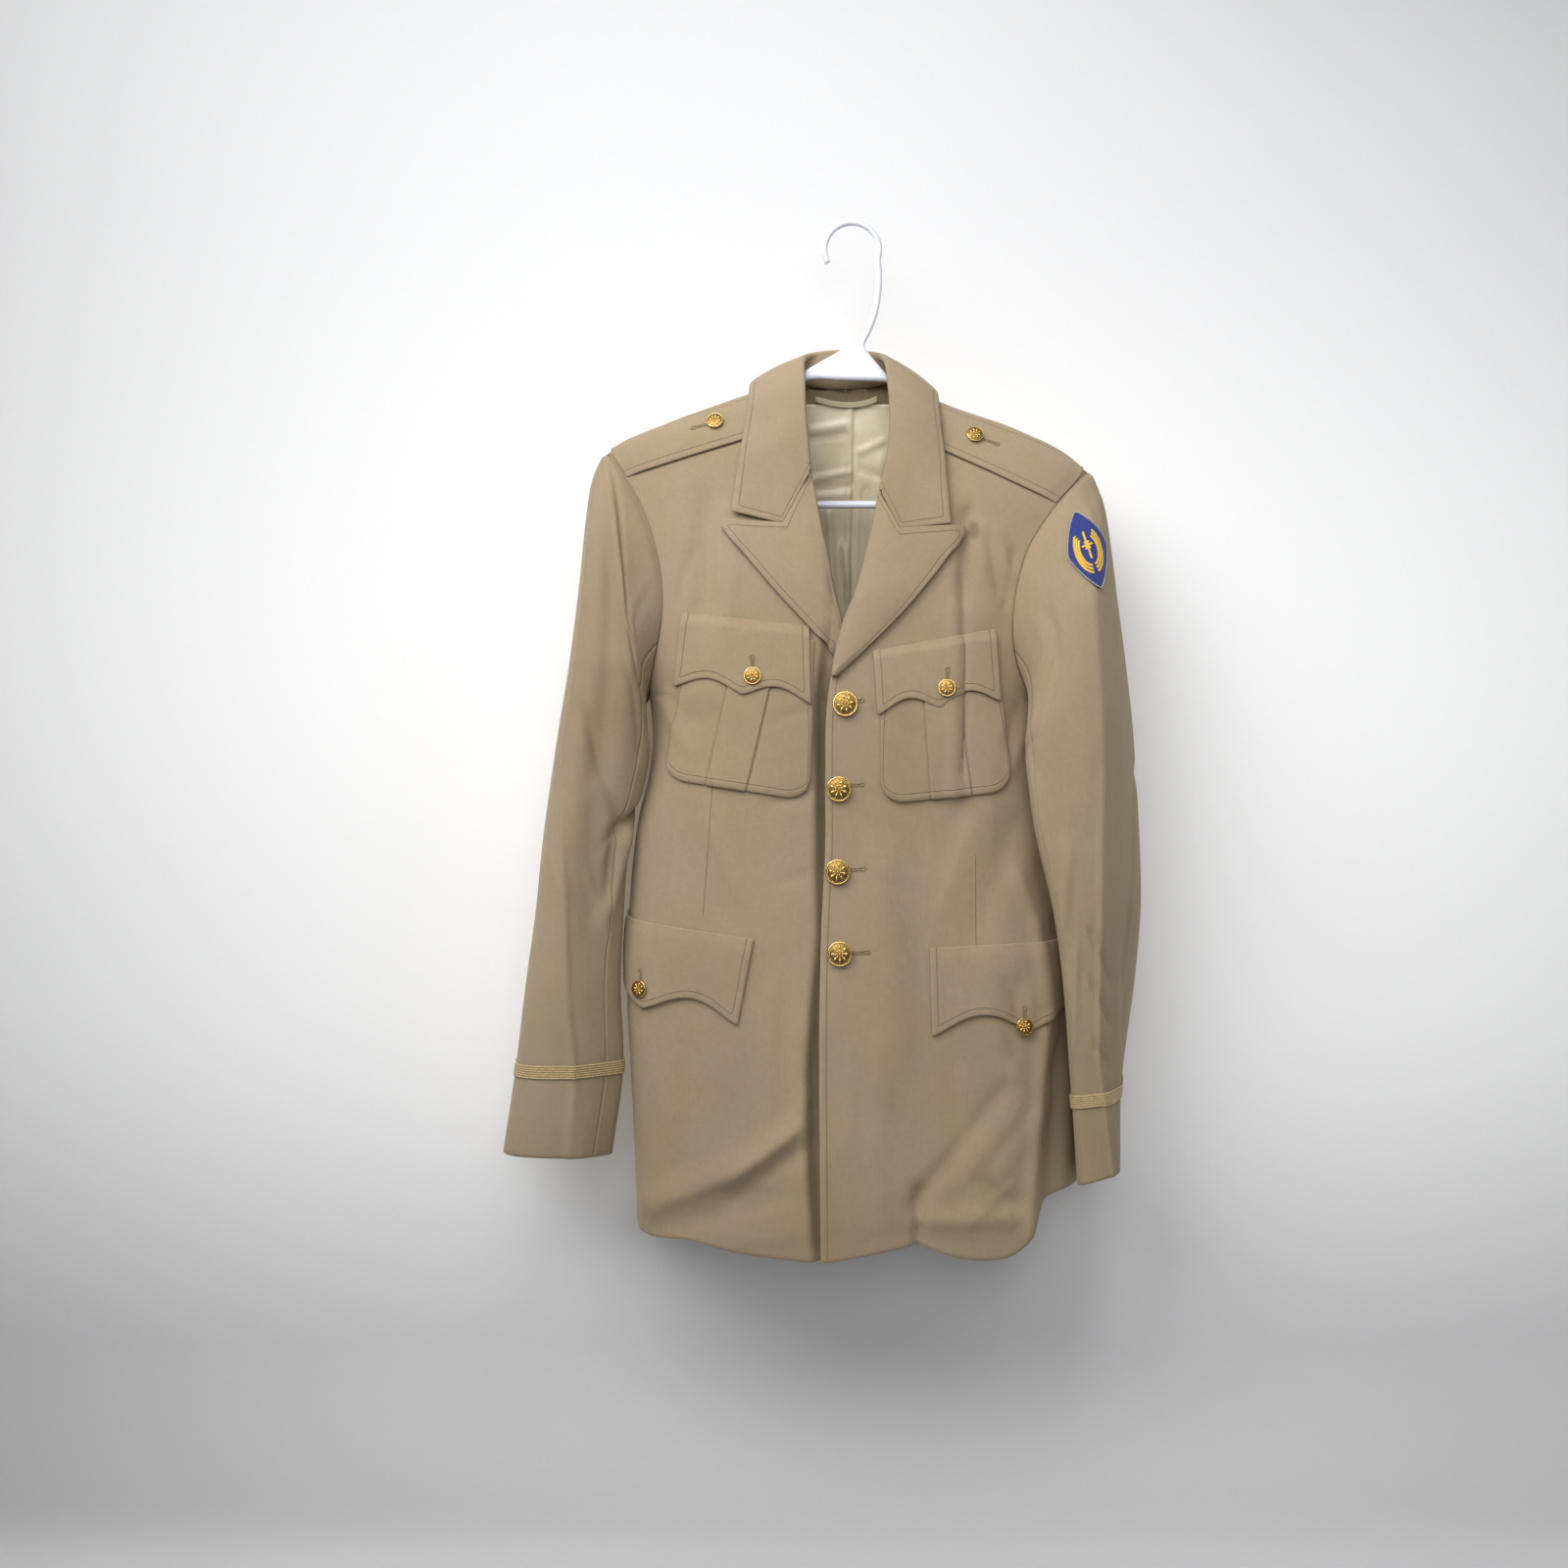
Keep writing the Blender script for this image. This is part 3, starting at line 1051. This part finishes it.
# --- Lining, loop and hanger ---------------------------------------------------------------------------
LINING_OFF = 2.0


def make_lining(finish):
    """The lining that shows inside the neck, hung just inside the back."""
    z = np.concatenate((np.linspace(-430, -175, 8), (-158, -146)))[:, None]
    x = np.linspace(-62, 62, 9)[None, :]
    off = BACK_WALL + LINING_OFF
    a = back_arc(LEFT, z) - x
    wall("lining_back", body(0, a, z, -off), body(0, a, z, -off - LINING_WALL), finish)


LOOP = table("x z", (-30, -140), (-22, -142.5), (-10, -145), (2, -146), (14, -145), (24, -142.5), (30, -140))


def make_loop(finish):
    """The short hanging loop across the back of the neck."""
    x = np.linspace(-30, 30, 13)
    z = np.stack((column(LOOP, "x", "z", x) + 2.5, column(LOOP, "x", "z", x) - 2.5))
    a = back_arc(LEFT, z) - x[None, :]
    off = BACK_WALL + LINING_OFF + LINING_WALL + 1.2
    wall("hanging_loop", body(0, a, z, -off), body(0, a, z, -off - 1.2), finish)


HOOK_CENTRE, HOOK_RADIUS, HOOK_ROD = (4.3, -4.3), 26.0, 3.3
HANGER_ROD = 4.0
STEM = ((30.4, -30), (29.5, -45), (26.6, -63), (20.5, -80), (12.5, -96), (6, -112))
WEB = ((-44, -127), (-40, -119), (8, -92), (15, -92), (19, -101), (28, -112), (36, -121), (39, -127))
WEB_HALF = 3.5
HANGER_LOOP = ((-5, -125), (-40, -125.5), (-80, -146), (-120, -163), (-160, -179), (-188, -196), (-197, -212),
               (-194, -232), (-176, -245), (-150, -246.5), (0, -246.5), (150, -246.5), (178, -245),
               (195, -236), (198, -220), (189, -207), (155, -185), (115, -172), (78, -156), (36, -126))


def make_hanger(finish):
    """The plastic hanger: rod frame, web and hook as one moulding."""
    frame_points, frame_faces = tube([(x, 0, z) for x, z in HANGER_LOOP], HANGER_ROD, 8, closed=True)
    hanger = add_object("hanger", frame_points, frame_faces, finish)
    web = [(x, -WEB_HALF, z) for x, z in WEB] + [(x, WEB_HALF, z) for x, z in WEB]
    count = len(WEB)
    sides = [[k, (k + 1) % count, (k + 1) % count + count, k + count] for k in range(count)]
    web_faces = [list(range(count)), list(range(2 * count - 1, count - 1, -1))] + sides
    turn = np.radians(np.linspace(210, -18, 16))
    arc = [(HOOK_CENTRE[0] + HOOK_RADIUS * math.cos(t), 0, HOOK_CENTRE[1] + HOOK_RADIUS * math.sin(t))
           for t in turn]
    hook_points, hook_faces = tube(arc + [(x, 0, z) for x, z in STEM], HOOK_ROD, 8)
    for name, points, faces in (("web_shape", web, web_faces), ("hook_shape", hook_points, hook_faces)):
        helper = add_object(name, points, faces, finish)
        helper.hide_render = True
        helper.display_type = "WIRE"
        joined = hanger.modifiers.new(name, "BOOLEAN")
        joined.operation = "UNION"
        joined.object = helper


def main():
    for thing in list(bpy.data.objects):
        bpy.data.objects.remove(thing)
    cloth = material("tan_worsted", (0.45, 0.36, 0.25), 0.85)
    satin = material("khaki_satin", (0.50, 0.44, 0.28), 0.45)
    gilt = material("gilt_brass", (0.80, 0.58, 0.22), 0.3, 1.0)
    braid = material("gold_braid", (0.62, 0.50, 0.26), 0.6)
    blue = material("blue_embroidery", (0.05, 0.11, 0.45), 0.7)
    white = material("white_plastic", (0.86, 0.87, 0.92), 0.35)
    straps = {}
    for side, word in ((RIGHT, "right"), (LEFT, "left")):
        make_back(f"back_{word}", side, cloth, 11)
        make_sleeve(side, word, cloth)
        make_braid(side, word, braid)
        make_lapel(side, word, cloth)
        make_pocket(side, word, cloth)
        make_flap("chest", CHEST_FLAP[side], side, word, CHEST_RISE, cloth)
        make_flap("lower", LOWER_FLAP[side], side, word, LOWER_RISE, cloth)
        straps[side] = make_strap(side, word, cloth)
    make_front("front_right", RIGHT, RIGHT_EDGE, cloth, 16)
    make_front("front_left", LEFT, LEFT_EDGE, cloth, 16)
    make_collar(cloth)
    make_sleeve_patch(blue)
    make_lining(satin)
    make_loop(cloth)
    make_hanger(white)
    make_buttons(gilt, straps)


main()
